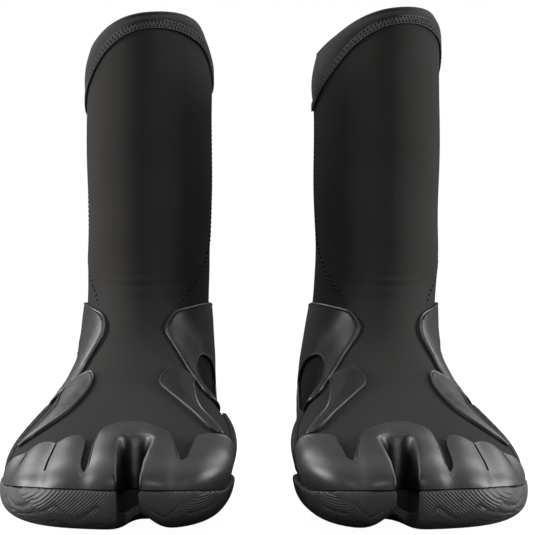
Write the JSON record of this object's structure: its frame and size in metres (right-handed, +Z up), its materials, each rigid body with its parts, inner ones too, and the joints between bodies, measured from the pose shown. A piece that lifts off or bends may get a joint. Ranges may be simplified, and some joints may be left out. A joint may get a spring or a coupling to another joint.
{
  "type": "split-toe neoprene boots",
  "caption": "Pair of soft split-toe water boots with tall stretch shafts, rubber cup soles, toe caps and ankle cages, standing side by side.",
  "frame": {"origin": "centre of the pair's bounding box on the ground plane", "axes": "+Z up out of the shafts, toes towards -Y, wearer's right boot at -X"},
  "size_m": [0.2383, 0.2829, 0.2435],
  "materials": {
    "neoprene": "matte fine-knit jersey over foam rubber",
    "collar_jersey": "smooth matte stretch jersey",
    "stitching": "overlocked thread",
    "rubber": "matte moulded rubber",
    "textured_rubber": "finely ribbed rubber print",
    "outsole": "matte moulded rubber with tread"
  },
  "bodies": {
    "right_foot": {"right_outsole": "outsole", "right_sole_panel": "neoprene", "right_toe_panel": "neoprene", "right_instep_panel": "neoprene", "right_heel_panel": "neoprene", "right_ankle_ring": "neoprene", "right_toe_cap": "rubber", "right_heel_cup": "rubber", "right_inner_ankle_cage": "rubber", "right_outer_ankle_cage": "rubber", "right_inner_instep_leaf": "rubber", "right_outer_instep_leaf": "rubber", "right_inner_side_patch": "textured_rubber", "right_outer_side_patch": "textured_rubber"},
    "right_shaft": {"right_shaft_front": "neoprene", "right_shaft_back": "neoprene", "right_collar": "collar_jersey", "right_collar_stitching": "stitching"},
    "left_foot": {"left_outsole": "outsole", "left_sole_panel": "neoprene", "left_toe_panel": "neoprene", "left_instep_panel": "neoprene", "left_heel_panel": "neoprene", "left_ankle_ring": "neoprene", "left_toe_cap": "rubber", "left_heel_cup": "rubber", "left_inner_ankle_cage": "rubber", "left_outer_ankle_cage": "rubber", "left_inner_instep_leaf": "rubber", "left_outer_instep_leaf": "rubber", "left_inner_side_patch": "textured_rubber", "left_outer_side_patch": "textured_rubber"},
    "left_shaft": {"left_shaft_front": "neoprene", "left_shaft_back": "neoprene", "left_collar": "collar_jersey", "left_collar_stitching": "stitching"}
  },
  "joints": [
    {"name": "right_ankle_bend", "type": "hinge", "parent": "right_foot", "child": "right_shaft", "pos_m": [-0.06022, 0.07462, 0.096], "axis": [0.9984, -0.0558, 0], "range_deg": [-12, 20], "stiffness_Nm_per_rad": 1.5, "deforming": ["right_ankle_ring"]},
    {"name": "left_lift", "type": "slide", "parent": "right_foot", "child": "left_foot", "axis": [0, 0, 1], "range_m": [0, 0.28]},
    {"name": "left_ankle_bend", "type": "hinge", "parent": "left_foot", "child": "left_shaft", "pos_m": [0.04989, 0.07464, 0.096], "axis": [0.9945, 0.1045, 0], "range_deg": [-12, 20], "stiffness_Nm_per_rad": 1.5, "deforming": ["left_ankle_ring"]}
  ]
}
